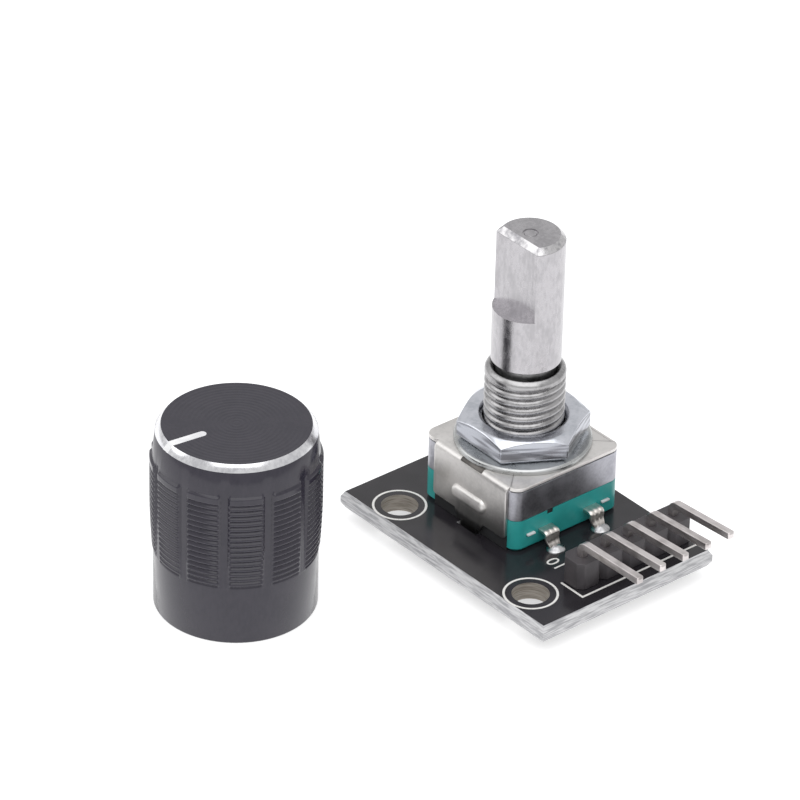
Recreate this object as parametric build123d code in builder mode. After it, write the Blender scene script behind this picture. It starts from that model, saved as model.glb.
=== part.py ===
from build123d import *
import math
import os

os.makedirs("parts", exist_ok=True)

# Rotary encoder module, in millimetres, +Z up.
# The origin is midway between the two mounting holes, on the underside of the board.
# The header points to -Y, and the knob stands beside the board on the same surface.

# Circuit board
board_length = 26.35
board_width = 18.9
board_thickness = 1.6
score_depth = 0.5
score_angle = 30.0
mount_hole_spacing = 17.0
mount_hole_diameter = 3.2
hole_to_left_edge = 2.56
hole_to_back_edge = 4.8

# Place of the encoder's shaft on the board
shaft_x = 8.55
shaft_y = 2.7

# Leads and solder
lead_tail = 1.2
solder_height = 0.85
solder_foot_radius = 0.95
solder_tip_radius = 0.5
solder_gap = 0.02
solder_sides = 6

# Pin header
pin_count = 5
pin_pitch = 2.54
pin_side = 0.64
first_pin_x = 4.61
header_to_front_edge = 3.42
header_height = 2.54
header_depth = 2.54
header_notch = 0.5
pin_run_height = 1.1
pin_bend_radius = 0.6
pin_reach = 7.27
pin_tip_bevel = 0.14
pin_hole_diameter = 1.0
pin_tilts = (1.2, 2.9, 3.0, 3.6, 3.6)

# Chip resistors under the board
resistor_length = 2.0
resistor_width = 1.25
resistor_height = 0.5
resistor_cap = 0.4
resistor_cap_skin = 0.05
resistor_pitch = 2.5
resistor_row_y = -0.5
resistor_count = 3

# Encoder body
body_width = 11.8
body_depth = 12.0
body_corner_radius = 1.05
base_height = 3.05
base_foot_chamfer = 0.3
base_side_recess = 0.9
base_side_recess_height = 1.0
housing_height = 2.95
housing_roof = 0.75
housing_bore_radius = 5.05
dowel_radius = 0.45
dowel_sides = 8
dowel_height = 0.8
dowel_inset = 1.05
dowel_gap = 0.05
vent_width = 0.65
vent_height = 0.4
vent_depth = 0.4
vent_offset = -2.0

# Folded cover
cover_thickness = 0.3
wing_length = 9.3
wing_offset_y = -0.4
wing_gap_above_board = 0.7
wing_fold_radius = 0.35
fold_notch_length = 2.6
fold_notch_height = 0.45
rib_length = 4.4
rib_height = 1.5
rib_corner = 0.5
rib_proud = 0.35
rib_above_board = 2.9
shoulder_length = 3.66
shoulder_drop = 0.4
lug_length = 2.0
lug_tail = 1.0
lug_slot_gap = 0.25

# Bushing, washer and nut
bushing_radius = 3.5
bushing_length = 7.5
bushing_chamfer = 0.35
bushing_countersink = 0.42
cover_hole_gap = 0.1
washer_outer_radius = 5.9
washer_thickness = 0.5
washer_chamfer = 0.15
washer_hole_gap = 0.15
nut_across_flats = 10.0
nut_thickness = 2.25
nut_bottom_bevel = 0.4
nut_turn = 29.5
nut_chamfer_angle = 30.0
nut_countersink = 0.35
nut_thread_gap = 0.02

# Shaft
shaft_radius = 3.0
shaft_reach = 20.15
shaft_chamfer = 0.5
shaft_flat_distance = 1.5
shaft_flat_length = 7.0
shaft_d_undersize = 0.02
shaft_dimple_radius = 0.65
shaft_dimple_depth = 0.3
journal_radius = 2.6
journal_gap = 0.05
drive_radius = 1.9
drive_flat_distance = 1.4
drive_gap = 0.05
push_travel = 0.5
push_play = 0.1

# Retaining ring
ring_outer_radius = 3.4
ring_thickness = 0.35
ring_groove_depth = 0.4
ring_opening = 3.0
ring_lip = 0.2
ring_play = 0.05

# Contacts in the base
lead_height = 1.45
lead_thickness = 0.3
lead_width = 1.5
lead_strip_width = 0.9
lead_neck_width = 0.9
lead_stand_off = 0.95
lead_kink = 0.3
lead_kink_drop = 0.85
lead_foot_rise = 0.3
lead_hole_diameter = 1.2
switch_row = 7.4
switch_pitch = 5.0
contact_row = 7.5
contact_pitch = 2.5
stub_offset = 1.65
stub_width = 0.87
riser_width = 0.45
solder_dome_radius = 0.78
solder_dome_height = 0.5

# Push switch
well_radius = 2.3
well_floor_skin = 0.1
plunger_gap = 0.1
plunger_height = 0.5
dome_radius = 1.95
dome_crown_radius = 0.75
dome_height = 0.62
dome_thickness = 0.08
stack_gap = 0.03
centre_contact_side = 1.4
centre_window_side = 1.0
rim_contact_side = 0.7

# Encoder tracks and wiper
track_thickness = 0.1
pulse_count = 20
common_track_radius = 2.75
inner_track_radius = 3.28
outer_track_radius = 4.5
track_width = 0.3
track_tooth_length = 0.35
track_tooth_width = 0.5
wiper_thickness = 0.12
wiper_drop = 0.3
wiper_inner_radius = 2.45
wiper_outer_radius = 4.75
finger_length = 1.3
finger_width = 0.28
finger_slot = 0.12

# Rotor and detent
rotor_radius = 4.8
rotor_thickness = 0.63
detent_count = 20
detent_tooth_height = 0.3
detent_inner_radius = 3.95
detent_groove_width = 0.6
detent_spring_thickness = 0.15
detent_spring_width = 0.75
detent_ear_length = 1.6
detent_nose_width = 0.45
detent_spring_clearance = 0.4

# Knob
knob_x = -17.03
knob_y = 9.42
knob_height = 17.23
knob_skirt_radius = 6.9
knob_skirt_height = 5.46
knob_grip_radius = 7.2
knob_grip_top = 14.26
knob_neck_radius = 7.0
knob_shoulder_radius = 6.76
knob_cut_width = 0.5
knob_cut_height = 0.56
knob_wall = 0.8
knob_top_thickness = 1.3
knob_foot_chamfer = 0.15
flute_count = 12
flute_width = 0.85
flute_depth = 0.2
flute_wall_angle = 45.0
flute_first_angle = 15.0
indicator_width = 0.8
indicator_depth = 0.35
indicator_inner_radius = 3.3
indicator_angle = 172.0
insert_recess = 2.0
insert_gap = 0.02
insert_hub_radius = 4.4
insert_rim_thickness = 0.8
insert_pocket_depth = 11.0
insert_rib_count = 4
insert_rib_width = 0.8
insert_grip_gap = 0.05
insert_entry_gap = 0.25
insert_lead_in = 0.3

# Heights that follow from the sizes above
board_top = board_thickness
floor_z = -lead_tail
base_top = board_top + base_height
housing_top = base_top + housing_height
cover_top = housing_top + cover_thickness
washer_top = cover_top + washer_thickness
nut_top = washer_top + nut_thickness
bushing_top = cover_top + bushing_length
shaft_step = bushing_top + push_travel + push_play
shaft_top = cover_top + shaft_reach
shaft_flat_bottom = shaft_top - shaft_flat_length
ceiling = housing_top - housing_roof
lead_z = board_top + lead_height
well_floor = lead_z + lead_thickness / 2 + well_floor_skin
dome_top = well_floor + dome_height
plunger_bottom = dome_top + stack_gap
plunger_top = plunger_bottom + plunger_height
shaft_end = plunger_top + stack_gap
track_top = base_top + track_thickness
wiper_contact = track_top + stack_gap
rotor_bottom = wiper_contact + wiper_drop
rotor_top = rotor_bottom + rotor_thickness
detent_top = rotor_top + detent_tooth_height
ring_top = ceiling - ring_play
ring_bottom = ring_top - ring_thickness
shaft_shoulder = ring_bottom - ring_lip

# Outlines that follow from the sizes above
board_left = -hole_to_left_edge
board_back = mount_hole_spacing / 2 + hole_to_back_edge
board_center_x = board_left + board_width / 2
board_center_y = board_back - board_length / 2
score_inset = score_depth * math.tan(math.radians(score_angle))
header_y = board_back - board_length + header_to_front_edge
body_half_width = body_width / 2
body_half_depth = body_depth / 2
wing_center = body_half_width + cover_thickness / 2
wing_y = shaft_y + wing_offset_y
shaft_axis = Axis((shaft_x, shaft_y, 0), (0, 0, 1))
header_xs = [first_pin_x + pin_pitch * index for index in range(pin_count)]
header_length = pin_pitch * pin_count
header_center_x = first_pin_x + pin_pitch * (pin_count - 1) / 2
switch_xs = [-switch_pitch / 2, switch_pitch / 2]
contact_xs = [contact_pitch * (index - 1) for index in range(3)]
track_radii = [inner_track_radius, common_track_radius, outer_track_radius]


def level(z, x=shaft_x, y=shaft_y):
    """Flat plane at height z, centred on the shaft unless another place is given."""
    return Plane(origin=(x, y, z))


def finish(part, name):
    """Label a finished piece and write it as its own STEP file."""
    part.label = name
    export_step(part, f"parts/{name}.step")


# Circuit board: scored and snapped along its four edges, so each edge has a bevel above and below
with BuildPart() as circuit_board:
    with BuildSketch(level(score_depth, board_center_x, board_center_y)):
        Rectangle(board_width, board_length)
    extrude(amount=board_thickness - 2 * score_depth)
    for face_z, outward in ((score_depth, -1), (board_thickness - score_depth, 1)):
        with BuildSketch(level(face_z, board_center_x, board_center_y)):
            Rectangle(board_width, board_length)
        with BuildSketch(level(face_z + outward * score_depth, board_center_x, board_center_y)):
            Rectangle(board_width - 2 * score_inset, board_length - 2 * score_inset)
        loft()
    with BuildSketch():
        with Locations((0, -mount_hole_spacing / 2), (0, mount_hole_spacing / 2)):
            Circle(mount_hole_diameter / 2)
        with Locations(*[(x, header_y) for x in header_xs]):
            RegularPolygon(pin_hole_diameter / 2, solder_sides)
        with Locations(*[(shaft_x + x, shaft_y - switch_row) for x in switch_xs]):
            RegularPolygon(lead_hole_diameter / 2, solder_sides)
        with Locations(*[(shaft_x + x, shaft_y + contact_row) for x in contact_xs]):
            RegularPolygon(lead_hole_diameter / 2, solder_sides)
        with Locations((shaft_x - wing_center, wing_y), (shaft_x + wing_center, wing_y)):
            Rectangle(cover_thickness + 2 * lug_slot_gap, lug_length + 2 * lug_slot_gap)
    extrude(amount=board_thickness, mode=Mode.SUBTRACT)
finish(circuit_board.part, "circuit_board")


# Header: a strip of five moulded cells with a V notch between neighbours
cell_x = pin_pitch / 2
cell_y = header_depth / 2
with BuildPart() as header_housing:
    with BuildSketch(level(board_top, header_center_x, header_y)):
        with GridLocations(pin_pitch, 0, pin_count, 1):
            Polygon(
                (-cell_x, cell_y - header_notch),
                (-cell_x + header_notch, cell_y),
                (cell_x - header_notch, cell_y),
                (cell_x, cell_y - header_notch),
                (cell_x, -cell_y + header_notch),
                (cell_x - header_notch, -cell_y),
                (-cell_x + header_notch, -cell_y),
                (-cell_x, -cell_y + header_notch),
                align=None,
            )
    extrude(amount=header_height)
    with BuildSketch(level(board_top, header_center_x, header_y)):
        with GridLocations(pin_pitch, 0, pin_count, 1):
            Rectangle(pin_side, pin_side)
    extrude(amount=header_height, mode=Mode.SUBTRACT)
finish(header_housing.part, "header_housing")


def header_pin(x, tilt):
    """One square pin: up through its cell, over a round bend and out to -Y, rising by tilt degrees."""
    side_view = Plane(origin=(x, header_y, 0), x_dir=(0, -1, 0), z_dir=(-1, 0, 0))
    run_z = board_top + header_height + pin_run_height
    turn = 90 - tilt
    with BuildPart() as pin:
        with BuildSketch(side_view):
            with BuildLine():
                rise = Line((0, -lead_tail), (0, run_z - pin_bend_radius))
                bend = JernArc(start=rise @ 1, tangent=rise % 1, radius=pin_bend_radius, arc_size=-turn)
                run = Vector(pin_reach - pin_bend_radius, 0).rotate(Axis.Z, tilt)
                Line(bend @ 1, bend @ 1 + run)
            trace(line_width=pin_side)
        extrude(amount=pin_side / 2, both=True)
        tips = pin.faces().sort_by(Axis.Z)[0], pin.faces().sort_by(Axis.Y)[0]
        chamfer(tips[0].edges() + tips[1].edges(), length=pin_tip_bevel)
    return pin.part


header_pins = [header_pin(x, tilt) for x, tilt in zip(header_xs, pin_tilts)]
for index, pin_part in enumerate(header_pins):
    finish(pin_part, f"header_pin_{index + 1}")


def solder_joint(x, y, hole_radius, dome=False):
    """Solder of one lead: a waisted cone below, the filled hole, and on some a dome above."""
    waist_radius = (solder_foot_radius + 3 * solder_tip_radius) / 4
    with BuildPart() as joint:
        with BuildSketch(level(0, x, y)):
            RegularPolygon(hole_radius - solder_gap, solder_sides)
        extrude(amount=board_top)
        stages = [
            (0, solder_foot_radius, waist_radius, -solder_height * 0.4),
            (-solder_height * 0.4, waist_radius, solder_tip_radius, -solder_height * 0.6),
        ]
        if dome:
            shoulder_radius = solder_dome_radius * 0.75
            crown_radius = solder_dome_radius * 0.35
            stages += [
                (board_top, solder_dome_radius, shoulder_radius, solder_dome_height * 0.7),
                (board_top + solder_dome_height * 0.7, shoulder_radius, crown_radius, solder_dome_height * 0.3),
            ]
        for z, start_radius, end_radius, rise in stages:
            narrowing = (start_radius - end_radius) * math.cos(math.pi / solder_sides)
            with BuildSketch(level(z, x, y)):
                RegularPolygon(start_radius, solder_sides)
            extrude(amount=rise, taper=math.degrees(math.atan(narrowing / abs(rise))))
    return joint.part


with BuildPart() as header_solder:
    for x, pin_part in zip(header_xs, header_pins):
        add(solder_joint(x, header_y, pin_hole_diameter / 2))
        add(pin_part, mode=Mode.SUBTRACT)
finish(header_solder.part, "header_solder")


# Chip resistors: a ceramic block with wrapped end caps, in a row under the board
for index in range(resistor_count):
    resistor_x = shaft_x + resistor_pitch * (index - (resistor_count - 1) / 2)
    with BuildPart() as resistor:
        with BuildSketch(level(0, resistor_x, resistor_row_y)):
            Rectangle(resistor_width - 2 * resistor_cap_skin, resistor_length - 2 * resistor_cap_skin)
        extrude(amount=-(resistor_height - resistor_cap_skin))
        with BuildSketch(level(0, resistor_x, resistor_row_y)):
            with GridLocations(0, resistor_length - resistor_cap, 1, 2):
                Rectangle(resistor_width, resistor_cap)
        extrude(amount=-resistor_height)
    finish(resistor.part, f"resistor_{index + 1}")


def lead_plane(x, outward):
    """Upright plane of one encoder lead: local x runs away from the shaft axis, local y is up."""
    return Plane(origin=(shaft_x + x, shaft_y, 0), x_dir=(0, outward, 0), z_dir=(outward, 0, 0))


def leg(x, outward, row, inner):
    """A lead's leg: out of the base, down, kinked back under itself and out into its hole."""
    route = [
        (inner, lead_z),
        (body_half_depth + lead_stand_off, lead_z),
        (body_half_depth + lead_stand_off - lead_kink, lead_z - lead_kink_drop),
        (row, board_top + lead_foot_rise),
        (row, -lead_tail),
    ]
    neck_z = lead_z - lead_kink_drop
    with BuildPart() as metal:
        with BuildSketch(lead_plane(x, outward)):
            with BuildLine():
                Polyline(*route)
            trace(line_width=lead_thickness)
        extrude(amount=lead_width / 2, both=True)
        with BuildSketch(Plane(origin=(shaft_x + x, shaft_y, 0), x_dir=(1, 0, 0), z_dir=(0, -1, 0))):
            with BuildLine():
                Polyline(
                    (-lead_width / 2, base_top),
                    (-lead_width / 2, neck_z),
                    (-lead_neck_width / 2, board_top + lead_foot_rise),
                    (-lead_neck_width / 2, -lead_tail),
                    (lead_neck_width / 2, -lead_tail),
                    (lead_neck_width / 2, board_top + lead_foot_rise),
                    (lead_width / 2, neck_z),
                    (lead_width / 2, base_top),
                    close=True,
                )
            make_face()
        extrude(amount=row + lead_width, both=True, mode=Mode.INTERSECT)
    return metal.part


def switch_terminal(side):
    """Front lead: a strip into the switch well, a cut carrier stub beside the leg, and the leg."""
    x = side * switch_pitch / 2
    strip_end = (0, 0) if side < 0 else (dome_radius * 0.7, -dome_radius * 0.7)
    arm_x = x + side * stub_offset
    arm_y = -body_half_depth + lead_strip_width * 1.3
    with BuildPart() as metal:
        add(leg(x, -1, switch_row, body_half_depth - lead_thickness))
        with BuildSketch(level(lead_z - lead_thickness / 2)):
            with BuildLine():
                Polyline((x, -body_half_depth), (x, -well_radius - lead_strip_width), strip_end)
            trace(line_width=lead_strip_width)
            with Locations(((x + arm_x) / 2, arm_y)):
                Rectangle(abs(arm_x - x) + stub_width, lead_strip_width * 0.7)
            with Locations((arm_x, (arm_y - body_half_depth) / 2)):
                Rectangle(stub_width, arm_y + body_half_depth)
            if side < 0:
                Rectangle(centre_contact_side, centre_contact_side)
        extrude(amount=lead_thickness)
        if side > 0:
            with BuildSketch(level(lead_z)):
                with Locations(strip_end):
                    Rectangle(rim_contact_side, rim_contact_side)
            extrude(amount=lead_thickness / 2 + well_floor_skin)
    return metal.part


def encoder_terminal(x, track_radius):
    """Rear lead: the leg, a strip inside the base and a riser up to the underside of its track."""
    riser_y = math.sqrt(track_radius**2 - x**2)
    with BuildPart() as metal:
        add(leg(x, 1, contact_row, body_half_depth - lead_thickness))
        with BuildSketch(level(lead_z - lead_thickness / 2)):
            with Locations((x, (riser_y + body_half_depth) / 2)):
                Rectangle(riser_width, body_half_depth - riser_y + lead_thickness)
        extrude(amount=lead_thickness)
        with BuildSketch(level(lead_z)):
            with Locations((x, riser_y)):
                Rectangle(riser_width, lead_thickness)
        extrude(amount=base_top - lead_z)
    return metal.part


switch_terminals = [switch_terminal(side) for side in (-1, 1)]
for index, terminal in enumerate(switch_terminals):
    finish(terminal, f"switch_terminal_{index + 1}")

encoder_terminals = [encoder_terminal(x, radius) for x, radius in zip(contact_xs, track_radii)]
for index, terminal in enumerate(encoder_terminals):
    finish(terminal, f"encoder_terminal_{index + 1}")


# Moulded base: carries the leads, with the switch well in the middle and two dowels for the housing
dowel_places = [
    (body_half_width - dowel_inset, body_half_depth - dowel_inset),
    (-body_half_width + dowel_inset, -body_half_depth + dowel_inset),
]
with BuildPart() as contact_base:
    with BuildSketch(level(board_top)):
        RectangleRounded(body_width, body_depth, body_corner_radius)
    extrude(amount=base_height)
    chamfer(contact_base.faces().sort_by(Axis.Z)[0].edges(), length=base_foot_chamfer)
    with BuildSketch(level(board_top)):
        with Locations((-body_half_width, wing_offset_y), (body_half_width, wing_offset_y)):
            Rectangle(2 * base_side_recess, wing_length)
    extrude(amount=base_side_recess_height, mode=Mode.SUBTRACT)
    with BuildSketch(level(well_floor)):
        Circle(well_radius)
    extrude(amount=base_top - well_floor, mode=Mode.SUBTRACT)
    with BuildSketch(level(lead_z)):
        Rectangle(centre_window_side, centre_window_side)
    extrude(amount=well_floor - lead_z, mode=Mode.SUBTRACT)
    with BuildSketch(level(base_top - vent_height)):
        with Locations((vent_offset, -body_half_depth)):
            Rectangle(vent_width, 2 * vent_depth)
    extrude(amount=vent_height, mode=Mode.SUBTRACT)
    with BuildSketch(level(base_top)):
        with Locations(*dowel_places):
            RegularPolygon(dowel_radius, dowel_sides)
    extrude(amount=dowel_height)
    for terminal in switch_terminals + encoder_terminals:
        add(terminal, mode=Mode.SUBTRACT)
finish(contact_base.part, "contact_base")


# Contact tracks: a plain common ring and two toothed rings, stamped and laid on the base
half_pulse = 180 / pulse_count
with BuildPart() as contact_tracks:
    with BuildSketch(level(base_top)):
        RegularPolygon(common_track_radius + track_width / 2, pulse_count)
        RegularPolygon(common_track_radius - track_width / 2, pulse_count, mode=Mode.SUBTRACT)
    extrude(amount=track_thickness)
    for ring_radius, side, turn in ((inner_track_radius, 1, 0), (outer_track_radius, -1, half_pulse / 2)):
        tooth_length = track_width / 2 + track_tooth_length
        with BuildSketch(level(base_top)):
            RegularPolygon(ring_radius + track_width / 2, pulse_count, rotation=turn)
            RegularPolygon(ring_radius - track_width / 2, pulse_count, rotation=turn, mode=Mode.SUBTRACT)
            with PolarLocations(ring_radius + side * tooth_length / 2, pulse_count, start_angle=turn):
                Rectangle(tooth_length, track_tooth_width)
        extrude(amount=track_thickness)
finish(contact_tracks.part, "contact_tracks")


# Solder of the encoder: three rear leads, two front leads with domes above, and the two cover lugs
with BuildPart() as encoder_solder:
    for x, terminal in zip(contact_xs, encoder_terminals):
        add(solder_joint(shaft_x + x, shaft_y + contact_row, lead_hole_diameter / 2))
        add(terminal, mode=Mode.SUBTRACT)
    for x, terminal in zip(switch_xs, switch_terminals):
        add(solder_joint(shaft_x + x, shaft_y - switch_row, lead_hole_diameter / 2, dome=True))
        add(terminal, mode=Mode.SUBTRACT)
    for side in (-1, 1):
        lug_x = shaft_x + side * wing_center
        with BuildSketch(level(0, lug_x, wing_y)):
            Rectangle(2 * solder_foot_radius, lug_length + 2 * solder_tip_radius)
        extrude(amount=-solder_height, taper=25)
        with BuildSketch(level(0, lug_x, wing_y)):
            Rectangle(cover_thickness, lug_length)
        extrude(amount=-lead_tail, mode=Mode.SUBTRACT)
finish(encoder_solder.part, "encoder_solder")


# Die-cast housing: square body with the detent chamber below and the bushing above
with BuildPart() as encoder_housing:
    with BuildSketch(level(base_top)):
        RectangleRounded(body_width, body_depth, body_corner_radius)
    extrude(amount=housing_height)
    with BuildSketch(level(base_top)):
        Circle(housing_bore_radius)
    extrude(amount=ceiling - base_top, mode=Mode.SUBTRACT)
    with BuildSketch(level(housing_top)):
        Circle(bushing_radius)
    extrude(amount=bushing_top - housing_top)
    bushing_face = encoder_housing.faces().filter_by(Plane.XY).sort_by(Axis.Z)[-1]
    chamfer(bushing_face.edges(), length=bushing_chamfer)
    with BuildSketch(level(base_top)):
        Circle(journal_radius + journal_gap)
    extrude(amount=bushing_top - base_top, mode=Mode.SUBTRACT)
    bushing_face = encoder_housing.faces().filter_by(Plane.XY).sort_by(Axis.Z)[-1]
    chamfer(bushing_face.edges().sort_by(SortBy.RADIUS)[0], length=bushing_countersink)
    with BuildSketch(level(base_top)):
        with Locations(*dowel_places):
            RegularPolygon(dowel_radius + dowel_gap, dowel_sides)
    extrude(amount=dowel_height + dowel_gap, mode=Mode.SUBTRACT)
finish(encoder_housing.part, "encoder_housing")


# Folded cover: top sheet, two wings with an embossed rib, a notch at each fold and a lug at each foot
wing_bottom = board_top + wing_gap_above_board
lug_bottom = -lug_tail
with BuildPart() as encoder_cover:
    with BuildSketch(level(housing_top)):
        RectangleRounded(body_width, body_depth, body_corner_radius)
        Circle(bushing_radius + cover_hole_gap, mode=Mode.SUBTRACT)
    extrude(amount=cover_thickness)
    for side in (-1, 1):
        wing_plane = Plane(
            origin=(shaft_x + side * body_half_width, wing_y, 0),
            x_dir=(0, side, 0),
            z_dir=(side, 0, 0),
        )
        fold_edge_x = shaft_x + side * (body_half_width + cover_thickness)
        with BuildSketch(wing_plane):
            with Locations((0, (cover_top + wing_bottom) / 2)):
                Rectangle(wing_length, cover_top - wing_bottom)
            with Locations((0, wing_bottom)):
                Trapezoid(shoulder_length, 2 * shoulder_drop, 45)
            with Locations((0, (wing_bottom + lug_bottom) / 2)):
                Rectangle(lug_length, wing_bottom - lug_bottom)
        extrude(amount=cover_thickness)
        outer_top = encoder_cover.edges().filter_by(Axis.Y).filter_by(
            lambda edge: abs(edge.center().X - fold_edge_x) < cover_thickness / 4
            and abs(edge.center().Z - cover_top) < cover_thickness / 4
        )
        fillet(outer_top, radius=min(wing_fold_radius, cover_thickness * 0.95))
        with BuildSketch(wing_plane.offset(-cover_thickness)):
            with Locations((0, cover_top)):
                Rectangle(fold_notch_length, 2 * fold_notch_height)
        extrude(amount=3 * cover_thickness, mode=Mode.SUBTRACT)
        with BuildSketch(wing_plane.offset(cover_thickness)):
            with Locations((0, board_top + rib_above_board)):
                rib_outline = Rectangle(rib_length, rib_height)
            chamfer(rib_outline.vertices(), length=rib_corner)
        extrude(amount=rib_proud, taper=35)
finish(encoder_cover.part, "encoder_cover")


# Washer, bevelled round its upper edge
with BuildPart() as washer:
    with BuildSketch(level(cover_top)):
        Circle(washer_outer_radius)
    extrude(amount=washer_thickness)
    chamfer(washer.faces().sort_by(Axis.Z)[-1].edges(), length=washer_chamfer)
    with BuildSketch(level(cover_top)):
        Circle(bushing_radius + washer_hole_gap)
    extrude(amount=washer_thickness, mode=Mode.SUBTRACT)
finish(washer.part, "washer")


# Hexagon nut, with its upper corners turned away by a cone and a bevel round its foot
nut_corner_radius = nut_across_flats / math.sqrt(3)
nut_face_radius = nut_across_flats / 2 * 0.97
nut_corner_drop = (nut_corner_radius - nut_face_radius) * math.tan(math.radians(nut_chamfer_angle))
with BuildPart() as hex_nut:
    with BuildSketch(level(washer_top)):
        RegularPolygon(nut_corner_radius, 6, rotation=nut_turn)
    extrude(amount=nut_thickness)
    chamfer(hex_nut.faces().sort_by(Axis.Z)[0].edges(), length=nut_bottom_bevel)
    with BuildSketch(Plane(origin=(shaft_x, shaft_y, washer_top), x_dir=(1, 0, 0), z_dir=(0, -1, 0))):
        with BuildLine():
            Polyline(
                (0, 0),
                (nut_corner_radius, 0),
                (nut_corner_radius, nut_thickness - nut_corner_drop),
                (nut_face_radius, nut_thickness),
                (0, nut_thickness),
                close=True,
            )
        make_face()
    revolve(axis=shaft_axis, mode=Mode.INTERSECT)
    with BuildSketch(level(washer_top)):
        Circle(bushing_radius + nut_thread_gap)
    extrude(amount=nut_thickness, mode=Mode.SUBTRACT)
    top_rim = hex_nut.faces().filter_by(Plane.XY).sort_by(Axis.Z)[-1].edges().sort_by(SortBy.RADIUS)[0]
    chamfer(top_rim, length=nut_countersink)
finish(hex_nut.part, "hex_nut")


# Shaft: drive end with two flats, journal with the retaining groove, round length, and a D at the top
# that is turned a hair under size
with BuildPart() as shaft:
    with BuildSketch(level(shaft_shoulder)):
        Circle(journal_radius)
    extrude(amount=shaft_step - shaft_shoulder)
    with BuildSketch(level(shaft_step)):
        Circle(shaft_radius)
    extrude(amount=shaft_flat_bottom - shaft_step)
    with BuildSketch(level(shaft_flat_bottom)):
        Circle(shaft_radius - shaft_d_undersize)
        with Locations((-shaft_flat_distance - shaft_radius, 0)):
            Rectangle(2 * shaft_radius, 2 * shaft_radius, mode=Mode.SUBTRACT)
    extrude(amount=shaft_flat_length)
    chamfer(shaft.faces().sort_by(Axis.Z)[-1].edges(), length=shaft_chamfer)
    with BuildSketch(level(shaft_end)):
        Circle(drive_radius)
        with Locations((0, drive_flat_distance + drive_radius), (0, -drive_flat_distance - drive_radius)):
            Rectangle(2 * drive_radius, 2 * drive_radius, mode=Mode.SUBTRACT)
    extrude(amount=shaft_shoulder - shaft_end)
    with BuildSketch(level(ring_bottom)):
        Circle(journal_radius)
        Circle(journal_radius - ring_groove_depth, mode=Mode.SUBTRACT)
    extrude(amount=ring_thickness, mode=Mode.SUBTRACT)
    with Locations(level(shaft_top)):
        Cone(
            0,
            shaft_dimple_radius,
            shaft_dimple_depth,
            align=(Align.CENTER, Align.CENTER, Align.MAX),
            mode=Mode.SUBTRACT,
        )
finish(shaft.part, "shaft")


# Retaining ring, open on one side
with BuildPart() as retaining_ring:
    with BuildSketch(level(ring_bottom)):
        Circle(ring_outer_radius)
        Circle(journal_radius - ring_groove_depth, mode=Mode.SUBTRACT)
        with Locations((0, ring_outer_radius)):
            Rectangle(ring_opening, 2 * (ring_outer_radius - journal_radius) + ring_groove_depth, mode=Mode.SUBTRACT)
    extrude(amount=ring_thickness)
finish(retaining_ring.part, "retaining_ring")


# Rotor: a disc with one side per detent, driven by the shaft's flats, with a ring of detent grooves on top
with BuildPart() as rotor:
    with BuildSketch(level(rotor_bottom)):
        RegularPolygon(rotor_radius, detent_count)
    extrude(amount=rotor_thickness)
    with BuildSketch(level(rotor_top)):
        RegularPolygon(rotor_radius, detent_count)
        RegularPolygon(detent_inner_radius, detent_count, mode=Mode.SUBTRACT)
    extrude(amount=detent_tooth_height)
    for index in range(detent_count):
        angle = math.radians(90 + 360 / detent_count * index)
        radial = (math.cos(angle), math.sin(angle), 0)
        groove_start = (
            shaft_x + (detent_inner_radius - ring_play) * radial[0],
            shaft_y + (detent_inner_radius - ring_play) * radial[1],
            rotor_top,
        )
        with BuildSketch(Plane(origin=groove_start, x_dir=(-radial[1], radial[0], 0), z_dir=radial)):
            with BuildLine():
                Polyline(
                    (0, 0),
                    (detent_groove_width / 2, detent_tooth_height),
                    (-detent_groove_width / 2, detent_tooth_height),
                    close=True,
                )
            make_face()
        extrude(amount=rotor_radius - detent_inner_radius + 2 * ring_play, mode=Mode.SUBTRACT)
    with BuildSketch(level(rotor_bottom)):
        Circle(drive_radius + drive_gap)
        flat_y = drive_flat_distance + drive_gap + drive_radius
        with Locations((0, flat_y), (0, -flat_y)):
            Rectangle(3 * drive_radius, 2 * drive_radius, mode=Mode.SUBTRACT)
    extrude(amount=rotor_thickness, mode=Mode.SUBTRACT)
finish(rotor.part, "rotor")


# Wiper: a thin ring under the rotor with one sprung finger for each track
finger_radii = [common_track_radius, inner_track_radius + track_width, outer_track_radius - track_width]
with BuildPart() as contact_wiper:
    with BuildSketch(level(rotor_bottom)):
        Circle(wiper_outer_radius)
        Circle(wiper_inner_radius, mode=Mode.SUBTRACT)
        for index, finger_radius in enumerate(finger_radii):
            with PolarLocations(finger_radius, 1, start_angle=120 * index):
                Rectangle(finger_width + 2 * finger_slot, 2 * finger_length, mode=Mode.SUBTRACT)
    extrude(amount=-wiper_thickness)
    for index, finger_radius in enumerate(finger_radii):
        angle = math.radians(120 * index)
        radial = (math.cos(angle), math.sin(angle), 0)
        finger_origin = (shaft_x + finger_radius * radial[0], shaft_y + finger_radius * radial[1], 0)
        with BuildSketch(Plane(origin=finger_origin, x_dir=(-radial[1], radial[0], 0), z_dir=(radial[0], radial[1], 0))):
            with BuildLine():
                Polyline(
                    (-finger_length - finger_slot, rotor_bottom - wiper_thickness / 2),
                    (-finger_length / 2, rotor_bottom - wiper_thickness / 2),
                    (0, wiper_contact + wiper_thickness / 2),
                    (finger_length / 2, rotor_bottom - wiper_thickness),
                )
            trace(line_width=wiper_thickness)
        extrude(amount=finger_width / 2, both=True)
    with BuildSketch(level(wiper_contact)):
        Circle(rotor_radius)
    extrude(amount=rotor_bottom - wiper_contact, mode=Mode.INTERSECT)
finish(contact_wiper.part, "contact_wiper")


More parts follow.
